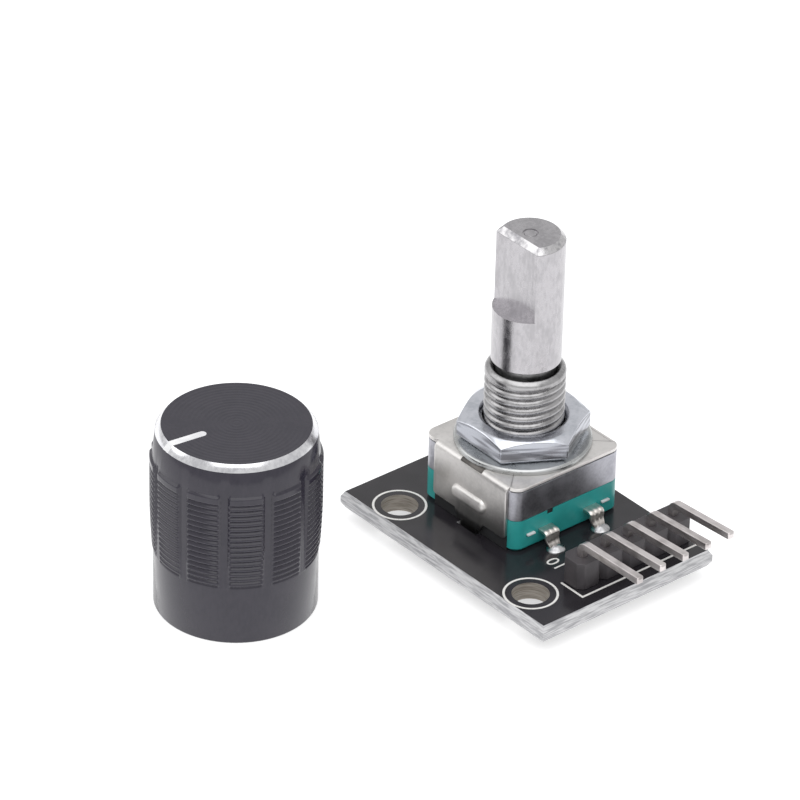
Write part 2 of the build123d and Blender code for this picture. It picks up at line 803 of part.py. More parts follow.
# Detent spring: a flat ring held under the housing's roof by two ears, with two noses in the grooves
spring_radius = (detent_inner_radius + rotor_radius) / 2
spring_bottom = detent_top + detent_spring_clearance
with BuildPart() as detent_spring:
    with BuildSketch(level(spring_bottom)):
        Circle(spring_radius + detent_spring_width / 2)
        Circle(spring_radius - detent_spring_width / 2, mode=Mode.SUBTRACT)
    extrude(amount=detent_spring_thickness)
    with BuildSketch(level(spring_bottom)):
        with Locations((-spring_radius, 0), (spring_radius, 0)):
            Rectangle(detent_spring_width * 0.9, detent_ear_length)
    extrude(amount=ceiling - spring_bottom)
    for side in (-1, 1):
        nose_plane = Plane(
            origin=(shaft_x, shaft_y + side * spring_radius, 0),
            x_dir=(1, 0, 0),
            z_dir=(0, -1, 0),
        )
        with BuildSketch(nose_plane):
            with BuildLine():
                Polyline(
                    (-detent_nose_width / 2, spring_bottom),
                    (-detent_nose_width / 6, rotor_top + detent_tooth_height * 0.6),
                    (detent_nose_width / 6, rotor_top + detent_tooth_height * 0.6),
                    (detent_nose_width / 2, spring_bottom),
                    close=True,
                )
            make_face()
        extrude(amount=detent_spring_width * 0.4, both=True)
finish(detent_spring.part, "detent_spring")


# Plunger: a disc between the shaft's end and the dome
with BuildPart() as switch_plunger:
    with BuildSketch(level(plunger_bottom)):
        Circle(well_radius - plunger_gap)
    extrude(amount=plunger_height)
finish(switch_plunger.part, "switch_plunger")


# Snap dome: a thin coned cap standing on the floor of the well
with BuildPart() as switch_dome:
    with BuildSketch(Plane(origin=(shaft_x, shaft_y, well_floor), x_dir=(1, 0, 0), z_dir=(0, -1, 0))):
        with BuildLine():
            Polyline(
                (0, dome_height),
                (dome_crown_radius, dome_height),
                (dome_radius, 0),
                (dome_radius - 2 * dome_thickness, 0),
                (dome_crown_radius, dome_height - dome_thickness),
                (0, dome_height - dome_thickness),
                close=True,
            )
        make_face()
    revolve(axis=shaft_axis)
finish(switch_dome.part, "switch_dome")


# Knob shell: turned aluminium cap with a fluted grip, a cut edge ring and an indicator groove
knob_top_radius = knob_shoulder_radius - knob_cut_width
shell_inner_radius = knob_skirt_radius - knob_wall
knob_axis = Axis((knob_x, knob_y, 0), (0, 0, 1))
with BuildPart() as knob_shell:
    with BuildSketch(Plane(origin=(knob_x, knob_y, floor_z), x_dir=(1, 0, 0), z_dir=(0, -1, 0))):
        with BuildLine():
            Polyline(
                (shell_inner_radius, 0),
                (knob_skirt_radius, 0),
                (knob_skirt_radius, knob_skirt_height),
                (knob_grip_radius, knob_skirt_height),
                (knob_grip_radius, knob_grip_top),
                (knob_neck_radius, knob_grip_top),
                (knob_shoulder_radius, knob_height - knob_cut_height),
                (knob_top_radius, knob_height),
                (0, knob_height),
                (0, knob_height - knob_top_thickness),
                (shell_inner_radius, knob_height - knob_top_thickness),
                close=True,
            )
        make_face()
    revolve(axis=knob_axis)
    foot_rim = knob_shell.faces().sort_by(Axis.Z)[0].edges().sort_by(SortBy.RADIUS)[-1]
    chamfer(foot_rim, length=knob_foot_chamfer)
    with BuildSketch(level(floor_z + knob_skirt_height, knob_x, knob_y)):
        with PolarLocations(knob_grip_radius, flute_count, start_angle=flute_first_angle):
            Trapezoid(flute_width + 2 * flute_depth, 2 * flute_depth, flute_wall_angle, rotation=90)
    extrude(amount=knob_grip_top - knob_skirt_height, mode=Mode.SUBTRACT)
    groove_length = knob_shoulder_radius - indicator_inner_radius
    with BuildSketch(level(floor_z + knob_height, knob_x, knob_y)):
        with PolarLocations(indicator_inner_radius + groove_length / 2, 1, start_angle=indicator_angle):
            SlotOverall(groove_length + indicator_width, indicator_width)
    extrude(amount=-indicator_depth, mode=Mode.SUBTRACT)
finish(knob_shell.part, "knob_shell")


# Knob insert: hub with the D bore, a rim against the shell and ribs between them
insert_radius = shell_inner_radius - insert_gap
insert_bottom = floor_z + insert_recess
insert_top = floor_z + knob_height - knob_top_thickness
insert_entry_radius = shaft_radius + insert_entry_gap
insert_grip_radius = shaft_radius + insert_grip_gap
d_bore_bottom = insert_top - shaft_flat_length
with BuildPart() as knob_insert:
    with BuildSketch(level(insert_bottom, knob_x, knob_y)):
        Circle(insert_radius)
    extrude(amount=insert_top - insert_bottom)
    with BuildSketch(level(insert_bottom, knob_x, knob_y)):
        Circle(insert_radius - insert_rim_thickness)
        Circle(insert_hub_radius, mode=Mode.SUBTRACT)
        with PolarLocations(insert_hub_radius, insert_rib_count):
            Rectangle(insert_radius, insert_rib_width, mode=Mode.SUBTRACT)
    extrude(amount=insert_pocket_depth, mode=Mode.SUBTRACT)
    with BuildSketch(level(insert_bottom, knob_x, knob_y)):
        Circle(insert_entry_radius)
    extrude(amount=d_bore_bottom - insert_bottom, mode=Mode.SUBTRACT)
    with BuildSketch(level(d_bore_bottom, knob_x, knob_y)):
        Circle(insert_grip_radius)
        with Locations((-shaft_flat_distance - insert_grip_gap - shaft_radius, 0)):
            Rectangle(2 * shaft_radius, 3 * shaft_radius, mode=Mode.SUBTRACT)
    extrude(amount=shaft_flat_length, mode=Mode.SUBTRACT)
    bore_mouth = knob_insert.edges().filter_by(GeomType.CIRCLE).filter_by(
        lambda edge: abs(edge.radius - insert_entry_radius) < insert_grip_gap
    ).sort_by(Axis.Z)[0]
    chamfer(bore_mouth, length=insert_lead_in)
finish(knob_insert.part, "knob_insert")
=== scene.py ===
import math

import bmesh
import bpy
from mathutils import Matrix, Vector


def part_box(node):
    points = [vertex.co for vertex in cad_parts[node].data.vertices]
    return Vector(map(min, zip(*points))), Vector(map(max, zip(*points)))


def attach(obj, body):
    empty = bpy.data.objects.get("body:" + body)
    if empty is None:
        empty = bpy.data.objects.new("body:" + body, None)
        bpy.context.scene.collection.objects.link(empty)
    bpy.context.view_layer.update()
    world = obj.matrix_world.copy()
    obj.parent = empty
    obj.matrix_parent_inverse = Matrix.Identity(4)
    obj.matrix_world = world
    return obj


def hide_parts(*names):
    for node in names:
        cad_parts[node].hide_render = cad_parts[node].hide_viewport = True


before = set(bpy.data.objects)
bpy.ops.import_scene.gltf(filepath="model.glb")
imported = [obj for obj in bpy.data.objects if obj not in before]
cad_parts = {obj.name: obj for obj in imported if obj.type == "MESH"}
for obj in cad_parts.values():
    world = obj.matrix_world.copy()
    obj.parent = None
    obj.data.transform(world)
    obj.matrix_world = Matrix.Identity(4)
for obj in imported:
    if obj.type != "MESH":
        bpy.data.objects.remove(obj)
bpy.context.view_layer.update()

MM = 0.001


def middle(node):
    """Centre of a node's box, in metres."""
    low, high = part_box(node)
    return (low + high) / 2


base_low, base_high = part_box("contact_base")
housing_low, housing_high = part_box("encoder_housing")
knob_low, knob_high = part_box("knob_shell")
stem = middle("shaft")
knob = middle("knob_shell")
board_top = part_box("circuit_board")[1].z
cover_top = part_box("encoder_cover")[1].z
shaft_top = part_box("shaft")[1].z
body_half_depth = (base_high.y - base_low.y) / 2
body_half_width = (base_high.x - base_low.x) / 2

# Sizes that model.glb doesn't give, in metres
HOLE_Y = 8.5 * MM  # mounting holes, from the middle of the board
BODY_CORNER = 1.05 * MM  # upright corners of the encoder's body
WING_Y = 2.3 * MM  # middle of the cover's wings
LEG_PITCH = 2.5 * MM  # between neighbouring legs
FRONT_ROW, REAR_ROW = 7.4 * MM, 7.5 * MM  # the legs' holes, from the shaft
LEAD_Z = 3.05 * MM  # where the legs leave the base

# Sizes that model.glb doesn't give, in millimetres
SHEET = 0.3  # thickness of the cover
WING_FOOT = 1.15  # how far above the board the wings end
VENT_X, VENT_WIDTH, VENT_HEIGHT, VENT_DEPTH = -2.0, 0.65, 0.4, 0.4  # vent in the base's front edge
# Radius and depth of the small ring that turning left on the shaft's end
PIP = ((0.68, 0.0), (0.66, 0.09), (0.56, 0.09), (0.52, 0.02), (0.2, 0.02))


# ---------------------------------------------------------------- materials


class Wired:
    """A socket of a material, with arithmetic that adds Math nodes."""

    def __init__(self, finish, socket):
        self.finish = finish
        self.socket = socket

    def _math(self, operation, first, second):
        return self.finish.node("ShaderNodeMath", {"operation": operation}, {0: first, 1: second})

    def __add__(self, other):
        return self._math("ADD", self, other)

    __radd__ = __add__

    def __sub__(self, other):
        return self._math("SUBTRACT", self, other)

    def __rsub__(self, other):
        return self._math("SUBTRACT", other, self)

    def __mul__(self, other):
        return self._math("MULTIPLY", self, other)

    __rmul__ = __mul__

    def __truediv__(self, other):
        return self._math("DIVIDE", self, other)

    def __gt__(self, other):
        return self._math("GREATER_THAN", self, other)

    def __lt__(self, other):
        return self._math("LESS_THAN", self, other)


class Finish:
    """A material: one Principled shader and the nodes that vary it over the surface."""

    def __init__(self, name, **constants):
        self.material = bpy.data.materials.new(name)
        self.material.use_nodes = True
        self.tree = self.material.node_tree
        self.shader = self.tree.nodes["Principled BSDF"]
        for socket, value in constants.items():
            self.shader.inputs[socket.replace("_", " ")].default_value = value

    def node(self, kind, settings=None, sockets=None, output=0):
        made = self.tree.nodes.new(kind)
        for name, value in (settings or {}).items():
            if name == "stops":
                ramp = made.color_ramp.elements
                for extra in value[2:]:
                    ramp.new(extra[0])
                for element, (place, colour) in zip(ramp, value):
                    element.position, element.color = place, (*colour, 1.0)
            else:
                setattr(made, name, value)
        for key, value in (sockets or {}).items():
            if isinstance(value, Wired):
                self.tree.links.new(value.socket, made.inputs[key])
            elif isinstance(value, tuple) and len(value) == 3 and made.inputs[key].type == "RGBA":
                made.inputs[key].default_value = (*value, 1.0)
            else:
                made.inputs[key].default_value = value
        return Wired(self, made.outputs[output])

    def feed(self, **sockets):
        for name, value in sockets.items():
            self.tree.links.new(value.socket, self.shader.inputs[name.replace("_", " ")])

    def here(self):
        """Place on the object."""
        return self.node("ShaderNodeTexCoord", output="Object")

    def axis(self, vector, name):
        """One part of a vector."""
        return self.node("ShaderNodeSeparateXYZ", None, {0: vector}, output=name)

    def absolute(self, value):
        return self.node("ShaderNodeMath", {"operation": "ABSOLUTE"}, {0: value})

    def level(self):
        """1 where the face itself lies flat, 0 where it stands upright."""
        outward = self.node("ShaderNodeNewGeometry", output="True Normal")
        return self.absolute(self.axis(outward, "Z"))

    def vector_math(self, operation, *vectors, output=0):
        return self.node("ShaderNodeVectorMath", {"operation": operation}, dict(enumerate(vectors)), output)

    def grain(self, size, detail=3.0, stretch=(1.0, 1.0, 1.0), roughness=0.55):
        """Noise whose features are about size millimetres."""
        return self.node(
            "ShaderNodeTexNoise",
            None,
            {
                "Vector": self.vector_math("MULTIPLY", self.here(), stretch),
                "Scale": 1 / (size * MM),
                "Detail": detail,
                "Roughness": roughness,
            },
        )

    def between(self, value, low, high):
        """0 below low, 1 above high, smooth between."""
        return self.node(
            "ShaderNodeMapRange",
            {"interpolation_type": "SMOOTHSTEP"},
            {"Value": value, "From Min": low, "From Max": high},
        )

    def tints(self, factor, first, second):
        return self.node(
            "ShaderNodeMix",
            {"data_type": "RGBA"},
            {"Factor": factor, 6: first, 7: second},
            output=2,
        )

    def relief(self, height, depth):
        """Bump of height times depth millimetres."""
        return self.node("ShaderNodeBump", None, {"Height": height, "Distance": depth * MM})


def metal(name, colour, dark, roughness, grain_size, depth, stretch=(1, 1, 1), side_shade=None):
    """Bare or plated metal: cloudy tone and fine grain, with painted shade on upright faces when side colours
    are given: a darker, streaked tone there.
    """
    finish = Finish(name, Metallic=1.0)
    cloud = finish.grain(1.6, 1.0)
    fine = finish.grain(grain_size, 1.0, stretch)
    tone = finish.tints(finish.between(cloud * 0.6 + fine * 0.4, 0.32, 0.62), dark, colour)
    if side_shade:
        # Painted shade: upright faces take the darker streaked colours.
        upright = finish.level() < 0.3
        streaks = finish.between(finish.grain(0.7, 0.0, (0.25, 0.25, 2.2)), 0.35, 0.65)
        tone = finish.tints(upright, tone, finish.tints(streaks, *side_shade))
    finish.feed(
        Base_Color=tone,
        Roughness=roughness + (cloud - 0.5) * 0.12 + (fine - 0.5) * 0.08,
        Normal=finish.relief(fine, depth),
    )
    return finish.material


def cover_finish(colour, dark, shade, painted_foot_shadow, roughness=0.42):
    """Satin nickel of the sheet cover, with painted shade darkening the wings low down towards their front
    ends, and a nearly black painted shadow on the lugs below the wings' edges.
    """
    finish = Finish("cover_nickel", Metallic=1.0)
    cloud = finish.grain(1.6, 1.0)
    fine = finish.grain(0.3, 2.0)
    along = finish.axis(finish.here(), "Y")
    height = finish.axis(finish.here(), "Z")
    near = 1 - finish.between(along, WING_Y - 0.5 * MM, WING_Y + 4.0 * MM)
    clear = height - board_top + (fine - 0.5) * (0.4 * MM)
    # Painted shade: darker low on the wings, towards their front ends.
    painted_shade_mask = near * (1 - finish.between(clear, 1.3 * MM, 3.4 * MM))
    tone = finish.tints(finish.between(cloud * 0.6 + fine * 0.4, 0.32, 0.62), dark, colour)
    painted_shade_tone = finish.tints(painted_shade_mask, tone, shade)
    finish.feed(
        # Painted shadow, nearly black, on the lugs below the wings' edges.
        Base_Color=finish.tints(finish.between(clear, 0.7 * MM, 1.2 * MM), painted_foot_shadow, painted_shade_tone),
        Roughness=roughness + (cloud - 0.5) * 0.12 + (fine - 0.5) * 0.08,
        Normal=finish.relief(fine, 0.002),
    )
    return finish.material


def plastic(name, colour, dark, roughness, grain_size, depth):
    """Moulded plastic: fine matt grain with a little unevenness."""
    finish = Finish(name)
    cloud = finish.grain(2.5, 3.0)
    fine = finish.grain(grain_size, 4.0)
    finish.feed(
        Base_Color=finish.tints(finish.between(cloud, 0.35, 0.65), dark, colour),
        Roughness=roughness + (fine - 0.5) * 0.2,
        Normal=finish.relief(fine, depth),
    )
    return finish.material


def board_finish():
    """Glossy black mask on both faces, and pale fibrous laminate wherever the board was cut."""
    finish = Finish("board_mask_and_edge", Specular_IOR_Level=0.5)
    facing = finish.level() > 0.97
    weave = finish.grain(0.5, 2.0, (0.3, 0.3, 4.0))
    haze = finish.grain(2.0, 4.0)
    edge = finish.tints(finish.between(weave, 0.35, 0.62), (0.33, 0.33, 0.345), (0.60, 0.60, 0.61))
    wall = finish.tints(finish.between(weave, 0.3, 0.65), (0.17, 0.15, 0.125), (0.33, 0.30, 0.265))
    mirrored = finish.vector_math("ABSOLUTE", finish.here())
    arm = finish.vector_math("SUBTRACT", mirrored, (0.0, HOLE_Y, board_top / 2))
    from_hole = finish.vector_math("LENGTH", arm, output="Value")
    cut = finish.tints(from_hole < 2.0 * MM, edge, wall)
    mask = finish.tints(finish.between(haze, 0.3, 0.7), (0.015, 0.0135, 0.0165), (0.0225, 0.0205, 0.0245))
    finish.feed(
        Base_Color=finish.tints(facing, cut, mask),
        Roughness=facing * (haze * 0.10 - 0.48) + 0.62,
        Normal=finish.relief(weave * (1 - facing), 0.05),
    )
    return finish.material


def turned_finish(name, centre, colour, dark, roughness, pitch, depth, metallic=1.0, brushing=0.6):
    """Turned surface: fine rings about an upright axis, seen on every flat top."""
    finish = Finish(name, Metallic=metallic)
    arm = finish.vector_math("SUBTRACT", finish.here(), (centre.x, centre.y, 0.0))
    flat = finish.vector_math("MULTIPLY", arm, (1.0, 1.0, 0.0))
    radius = finish.vector_math("LENGTH", flat, output="Value")
    ripple = finish.node("ShaderNodeMath", {"operation": "SINE"}, {0: radius * (math.tau / (pitch * MM))})
    cloud = finish.grain(1.8, 2.0)
    fine = finish.grain(0.3, 2.0, (1.0, 1.0, 0.4))
    finish.feed(
        Base_Color=finish.tints(finish.between(cloud * 0.5 + fine * 0.5, 0.35, 0.62), dark, colour),
        Roughness=roughness + (cloud - 0.5) * 0.16 + (fine - 0.5) * 0.12,
        Normal=finish.relief(ripple * 0.5 + fine * brushing, depth),
    )
    return finish.material


def silk_finish():
    """White printed ink, slightly broken up."""
    finish = Finish("silk_ink")
    fine = finish.grain(0.08, 3.0)
    finish.feed(
        Base_Color=finish.tints(finish.between(fine, 0.3, 0.5), (0.5, 0.49, 0.48), (0.78, 0.77, 0.75)),
        Roughness=0.55 + fine * 0.2,
    )
    return finish.material


def resistor_finish(row, cap_start=0.6):
    """Chip resistor: black glaze between two tinned end caps."""
    finish = Finish("chip_resistor")
    cap = finish.absolute(finish.axis(finish.here(), "Y") - row) > cap_start * MM
    fine = finish.grain(0.15, 2.0)
    tin = finish.tints(fine, (0.55, 0.55, 0.56), (0.78, 0.78, 0.79))
    glaze = finish.tints(fine, (0.018, 0.018, 0.02), (0.045, 0.045, 0.05))
    finish.feed(Base_Color=finish.tints(cap, glaze, tin), Metallic=cap, Roughness=0.25 + fine * 0.2)
    return finish.material


def floor_finish():
    """Pale, evenly lit paper."""
    finish = Finish("pale_paper", Roughness=0.9, Specular_IOR_Level=0.0, Emission_Strength=0.62)
    fine = finish.grain(1.5, 3.0)
    pale = finish.tints(fine, (0.60, 0.60, 0.605), (0.64, 0.64, 0.645))
    finish.feed(Base_Color=pale, Normal=finish.relief(fine, 0.01))
    finish.shader.inputs["Emission Color"].default_value = (1.0, 1.0, 1.0, 1.0)
    return finish.material


MASK = board_finish()
# Third colour: painted shade low on the wings; fourth: painted shadow on the lugs.
COVER_NICKEL = cover_finish((0.75, 0.73, 0.715), (0.64, 0.625, 0.61), (0.33, 0.33, 0.32), (0.10, 0.10, 0.10))
DIE_CAST = metal("die_cast_zinc", (0.44, 0.44, 0.48), (0.33, 0.33, 0.365), 0.34, 0.2, 0.008)
# Painted shade: the nut's upright faces in darker, streaked tones than its top.
NUT_SIDE_SHADE = ((0.22, 0.225, 0.25), (0.46, 0.475, 0.52))
ZINC = metal("zinc_plating", (0.66, 0.675, 0.73), (0.54, 0.56, 0.61), 0.20, 0.4, 0.002, side_shade=NUT_SIDE_SHADE)
WASHER = metal("washer_zinc", (0.52, 0.53, 0.53), (0.42, 0.43, 0.43), 0.28, 0.5, 0.002)
THREAD = metal("thread_metal", (0.43, 0.425, 0.43), (0.31, 0.305, 0.31), 0.28, 0.3, 0.003)
LEAD = metal("lead_tin", (0.76, 0.72, 0.68), (0.62, 0.585, 0.55), 0.36, 0.3, 0.001)
PIN = metal("pin_tin", (0.73, 0.69, 0.685), (0.50, 0.465, 0.46), 0.32, 0.4, 0.001, (1.0, 0.3, 1.0))
SOLDER = metal("solder_tin", (0.56, 0.56, 0.57), (0.30, 0.30, 0.31), 0.27, 0.35, 0.002)
SPRING = metal("spring_steel", (0.6, 0.6, 0.61), (0.45, 0.45, 0.47), 0.3, 0.3, 0.002)
# Painted shade: the shaft's journal under the bushing's rim, darkened.
JOURNAL_SHADE = metal("journal_painted_shade", (0.24, 0.24, 0.24), (0.13, 0.13, 0.13), 0.35, 0.3, 0.002)
CUT_EDGE = metal("cut_edge", (0.62, 0.61, 0.62), (0.26, 0.255, 0.27), 0.26, 0.35, 0.006)
# Painted highlight: the legs' cut tabs are pale matt white, so that they show bright from every side.
STUB_HIGHLIGHT = plastic("stub_painted_highlight", (0.80, 0.80, 0.81), (0.55, 0.55, 0.56), 0.4, 0.2, 0.01)
# Painted shade and painted shadow: dark sheets for the fold slots, the recesses under the wings and the vent.
SLOT_SHADE = plastic("slot_painted_shade", (0.15, 0.14, 0.13), (0.06, 0.055, 0.05), 0.7, 0.2, 0.01)
SHADOW = plastic("recess_painted_shadow", (0.016, 0.017, 0.019), (0.009, 0.010, 0.011), 0.8, 0.3, 0.01)
SHAFT = turned_finish("shaft_metal", stem, (0.50, 0.487, 0.505), (0.40, 0.39, 0.405), 0.26, 0.4, 0.003)
KNOB = turned_finish(
    "knob_anodised", knob, (0.028, 0.025, 0.037), (0.022, 0.020, 0.031), 0.17, 0.4, 0.006,
    metallic=0.0, brushing=0.05,
)
CUT_RING = turned_finish("knob_cut_metal", knob, (0.80, 0.80, 0.82), (0.62, 0.62, 0.65), 0.20, 0.4, 0.003)
MILLED = plastic("knob_milled_line", (0.86, 0.86, 0.87), (0.66, 0.66, 0.68), 0.35, 0.25, 0.02)
GREEN = plastic("base_plastic", (0.026, 0.345, 0.33), (0.022, 0.30, 0.285), 0.36, 0.2, 0.002)
HEADER = plastic("header_plastic", (0.056, 0.050, 0.055), (0.040, 0.036, 0.040), 0.5, 0.2, 0.003)
INSERT = plastic("insert_plastic", (0.03, 0.03, 0.031), (0.02, 0.02, 0.021), 0.5, 0.15, 0.008)
ROTOR = plastic("rotor_plastic", (0.74, 0.72, 0.66), (0.64, 0.62, 0.57), 0.42, 0.12, 0.004)
RESISTOR = resistor_finish(middle("resistor_2").y)
SILK = silk_finish()
PAPER = floor_finish()

NODE_FINISHES = {
    "circuit_board": MASK,
    "contact_base": GREEN,
    "contact_tracks": LEAD,
    "contact_wiper": LEAD,
    "detent_spring": SPRING,
    "retaining_ring": SPRING,
    "switch_dome": SPRING,
    "rotor": ROTOR,
    "switch_plunger": ROTOR,
    "knob_insert": INSERT,
    "resistor_1": RESISTOR,
    "resistor_2": RESISTOR,
    "resistor_3": RESISTOR,
}
for node, finish in NODE_FINISHES.items():
    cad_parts[node].data.materials.clear()
    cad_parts[node].data.materials.append(finish)


# ---------------------------------------------------------------- making pieces


def add_piece(name, shape, body, finishes, stands_for=(), sharp=32):
    """Turn a bmesh into a smooth-shaded object that rides on a body."""
    mesh = bpy.data.meshes.new(name)
    bmesh.ops.recalc_face_normals(shape, faces=shape.faces)
    shape.to_mesh(mesh)
    shape.free()
    mesh.polygons.foreach_set("use_smooth", [True] * len(mesh.polygons))
    mesh.set_sharp_from_angle(angle=math.radians(sharp))
    for finish in finishes:
        mesh.materials.append(finish)
    piece = bpy.data.objects.new(name, mesh)
    bpy.context.scene.collection.objects.link(piece)
    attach(piece, body)
    if stands_for:
        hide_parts(*stands_for)
    return piece


def skin(shape, rings, closed=False, cap_start=False, cap_end=False, finish=0):
    """Join rings of points, one after another, with faces."""
    loops = [[shape.verts.new(point) for point in ring] for ring in rings]
    pairs = list(zip(loops, loops[1:])) + ([(loops[-1], loops[0])] if closed else [])
    for lower, upper in pairs:
        for index in range(len(lower)):
            following = (index + 1) % len(lower)
            face = shape.faces.new((lower[index], lower[following], upper[following], upper[index]))
            face.material_index = finish
    if cap_start:
        shape.faces.new(list(reversed(loops[0]))).material_index = finish
    if cap_end:
        shape.faces.new(loops[-1]).material_index = finish
    return loops


def circle(centre, radius, z, steps=96):
    turns = (math.tau * index / steps for index in range(steps))
    return [(centre.x + radius * math.cos(turn), centre.y + radius * math.sin(turn), z) for turn in turns]


def lathe(shape, centre, profile, steps=96, closed=True, finish=0):
    """Revolve (radius, height) pairs, in millimetres, round an upright axis."""
    skin(shape, [circle(centre, r * MM, z * MM, steps) for r, z in profile], closed=closed, finish=finish)


def rounded_outline(half_x, half_y, radius, z, steps=8, side_steps=1, tuck=None):
    """A rectangle with round corners, centred on the shaft; tuck draws its X sides in at some points."""
    corners = []
    for corner, (side_x, side_y) in enumerate(((1, 1), (-1, 1), (-1, -1), (1, -1))):
        for step in range(steps + 1):
            turn = math.radians(90 * corner + 90 * step / steps)
            corners.append(
                (
                    side_x * (half_x - radius) + radius * math.cos(turn),
                    side_y * (half_y - radius) + radius * math.sin(turn),
                )
            )
    points = []
    for index, (x, y) in enumerate(corners):
        points.append((x, y))
        if index % (steps + 1) == steps:
            after = corners[(index + 1) % len(corners)]
            for step in range(1, side_steps):
                share = step / side_steps
                points.append((x + (after[0] - x) * share, y + (after[1] - y) * share))
    if tuck:
        points = [(x - math.copysign(tuck(x, y), x), y) for x, y in points]
    return [(stem.x + x, stem.y + y, z) for x, y in points]


def eased_path(points, reach, steps=6):
    """Round the corners of a path, starting each bend reach before its corner."""
    path = [Vector(points[0])]
    for before, corner, after in zip(points, points[1:], points[2:]):
        before, corner, after = Vector(before), Vector(corner), Vector(after)
        into = corner + (before - corner).normalized() * min(reach, (before - corner).length / 2)
        out = corner + (after - corner).normalized() * min(reach, (after - corner).length / 2)
        for step in range(steps + 1):
            share = step / steps
            path.append(into.lerp(corner, share).lerp(corner.lerp(out, share), share))
    path.append(Vector(points[-1]))
    return path


def softened(name, node, finishes, width, body="module", segments=2):
    """The node's own shape with its edges slightly rounded, so that they catch the light."""
    shape = bmesh.new()
    shape.from_mesh(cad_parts[node].data)
    bmesh.ops.remove_doubles(shape, verts=shape.verts, dist=1e-7)
    bmesh.ops.dissolve_limit(shape, angle_limit=math.radians(0.6), verts=shape.verts, edges=shape.edges)
    piece = add_piece(name, shape, body, finishes, (node,), sharp=25)
    bevel = piece.modifiers.new("eased_edges", "BEVEL")
    bevel.width = width * MM
    bevel.segments = segments
    bevel.limit_method = "ANGLE"
    bevel.angle_limit = math.radians(28)
    bevel.use_clamp_overlap = True
    return piece


# ---------------------------------------------------------------- board print


def board_print(line=0.2 * MM, thick=0.012 * MM, ring_inner=2.155, ring_outer=2.355):
    """White print: a ring round each mounting hole and part of the header's outline."""
    shape = bmesh.new()
    bottom, top = board_top / MM, (board_top + thick) / MM
    profile = [(ring_inner, bottom), (ring_outer, bottom), (ring_outer, top), (ring_inner, top)]
    for side in (-1, 1):
        lathe(shape, Vector((0.0, side * HOLE_Y, 0.0)), profile)
    left, right = 3.05 * MM, 15.9 * MM
    near, far = -11.57 * MM, -5.96 * MM
    left_end, far_start = -8.96 * MM, 15.6 * MM
    strokes = [
        ((left, near), (right, near)),
        ((left, near + line), (left, left_end)),
        ((right, near + line), (right, far)),
        ((far_start, far), (right - line, far)),
    ]
    for (x0, y0), (x1, y1) in strokes:
        low = Vector((x0 - line / 2, y0 - line / 2, board_top))
        high = Vector((x1 + line / 2, y1 + line / 2, board_top + thick))
        for vert in bmesh.ops.create_cube(shape, size=1.0)["verts"]:
            vert.co = (low + high) / 2 + vert.co * (high - low)
    add_piece("board_print", shape, "module", [SILK])


def pin_number(index, x, size=1.75 * MM, half_thick=0.006 * MM, start_y=-5.6 * MM):
    """One printed numeral, reading from the back of the board towards the header."""
    numeral = bpy.data.curves.new(f"pin_number_{index}", "FONT")
    numeral.body = f"{index:02d}"
    numeral.size = size
    numeral.extrude = half_thick
    numeral.align_x = "LEFT"
    mesh = bpy.data.meshes.new_from_object(bpy.data.objects.new(f"pin_number_{index}", numeral))
    mesh.transform(Matrix.Rotation(math.radians(-90), 4, "Z"))
    mesh.transform(Matrix.Translation((x - 0.6 * MM, start_y, board_top + half_thick)))
    shape = bmesh.new()
    shape.from_mesh(mesh)
    add_piece(f"pin_number_{index}", shape, "module", [SILK])


# ---------------------------------------------------------------- encoder


def body_outline(inset, z, side_steps=1, tuck=None):
    """The body's outline, drawn in by inset."""
    half_x, half_y, radius = body_half_width - inset, body_half_depth - inset, BODY_CORNER - inset
    return rounded_outline(half_x, half_y, radius, z, side_steps=side_steps, tuck=tuck)


def housing_block(reveal=0.12 * MM, ease=0.05 * MM):
    """Cast block under the cover, drawn in a little right below the sheet."""
    shape = bmesh.new()
    low, high = housing_low.z, cover_top - SHEET * MM
    levels = [(ease, low), (0.0, low + ease)]
    levels += [(0.0, high - 0.13 * MM), (reveal, high - 0.06 * MM), (reveal, high)]
    skin(shape, [body_outline(inset, z) for inset, z in levels], cap_start=True, cap_end=True)
    return add_piece("housing_block", shape, "module", [DIE_CAST], ("encoder_housing",))


def bushing_thread(pitch=0.75, crest=3.46, depth=0.34, steps=96, across=10):
    """Threaded bushing: a helical thread with round crests, and a plain collar with a wide countersink."""
    shape = bmesh.new()
    top = housing_high.z / MM
    bottom, thread_end = cover_top / MM - pitch, top - 0.78
    turns = int((thread_end - bottom) / pitch) + 2
    rows = []
    for part in range(across * turns + 1):
        row = []
        for step in range(steps + 1):
            turn = math.tau * step / steps
            z = bottom + pitch * (part / across + step / steps)
            lobe = abs(math.sin(math.pi * part / across)) ** 0.75
            fade = min(1.0, max(0.0, (thread_end + 0.3 - z) / 0.3))
            radius = crest - depth * (1 - lobe) - 0.2 * (1 - fade)
            z = min(z, top - 0.45)
            row.append(
                shape.verts.new(
                    (stem.x + radius * MM * math.cos(turn), stem.y + radius * MM * math.sin(turn), z * MM)
                )
            )
        rows.append(row)
    for lower, upper in zip(rows, rows[1:]):
        for step in range(steps):
            shape.faces.new((lower[step], lower[step + 1], upper[step + 1], upper[step]))
    bmesh.ops.remove_doubles(shape, verts=shape.verts, dist=1e-6)
    collar = [
        (3.3, 0.82), (3.42, 0.78), (3.455, 0.70), (3.46, 0.5), (3.44, 0.38), (3.39, 0.27), (3.30, 0.17),
        (3.19, 0.08), (3.10, 0.02), (3.03, 0.0), (2.97, 0.03), (2.70, 0.36), (2.65, 0.42), (2.65, 3.0),
    ]
    lathe(shape, stem, [(radius, top - drop) for radius, drop in collar], steps, closed=False)
    return add_piece(
        "bushing_thread", shape, "module", [THREAD], ("encoder_housing",), sharp=75
    )


def beside_body(side, across, y, z):
    """A point across millimetres outside the body's X side and y millimetres from the wings' middle."""
    return (stem.x + side * (body_half_width + across * MM), WING_Y + y * MM, z)


